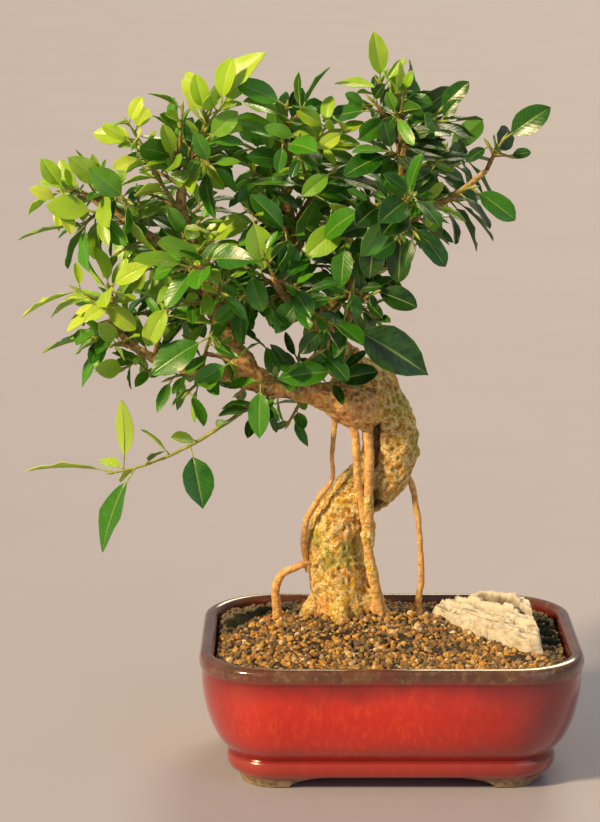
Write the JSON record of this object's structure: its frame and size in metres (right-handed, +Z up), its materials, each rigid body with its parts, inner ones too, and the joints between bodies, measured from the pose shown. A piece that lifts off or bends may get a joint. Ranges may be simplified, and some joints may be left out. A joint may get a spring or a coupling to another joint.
{
  "type": "banyan bonsai in a glazed pot",
  "caption": "Small fig tree grown as a bonsai with an S-bent trunk, aerial roots and a leafy crown, on gritty soil in a footed red glazed pot, with a slab of pale rock.",
  "frame": {"origin": "middle of the part's footprint, on the table that the pot's feet stand on", "axes": "+Z up from the table; +X to the viewer's right along the pot's long side; -Y towards the viewer"},
  "size_m": [0.307, 0.1944, 0.405],
  "materials": {
    "glaze": "glossy",
    "screen": "matte",
    "soil": "matte",
    "rock": "matte",
    "bark": "matte",
    "leaf": "satin",
    "young_leaf": "satin"
  },
  "bodies": {
    "root": {"pot": "glaze", "drain_screen_left": "screen", "drain_screen_right": "screen", "soil": "soil", "rock": "rock", "trunk": "bark", "spray_01": "young_leaf", "spray_02": "leaf", "spray_03": "leaf", "spray_04": "leaf", "spray_05": "leaf", "spray_06": "leaf", "spray_07": "leaf", "spray_08": "leaf", "spray_09": "leaf", "spray_10": "leaf", "spray_11": "young_leaf", "spray_12": "leaf", "spray_13": "leaf", "spray_14": "leaf", "spray_15": "leaf", "spray_16": "young_leaf", "spray_17": "leaf", "spray_18": "young_leaf", "spray_19": "leaf", "spray_20": "young_leaf", "spray_21": "young_leaf", "spray_22": "leaf", "spray_23": "leaf", "spray_24": "young_leaf", "spray_25": "young_leaf", "spray_26": "leaf", "spray_27": "leaf", "spray_28": "young_leaf", "spray_29": "young_leaf", "spray_30": "leaf", "spray_31": "leaf", "spray_32": "leaf", "spray_33": "leaf", "spray_34": "leaf", "spray_35": "leaf", "spray_36": "leaf", "spray_37": "young_leaf", "spray_38": "young_leaf", "spray_39": "leaf", "spray_40": "leaf", "spray_41": "leaf", "spray_42": "leaf", "spray_43": "leaf", "spray_44": "leaf", "spray_45": "leaf", "spray_46": "leaf", "spray_47": "leaf", "spray_48": "leaf", "spray_49": "leaf", "spray_50": "leaf", "spray_51": "leaf", "spray_52": "leaf", "spray_53": "leaf"}
  },
  "joints": []
}
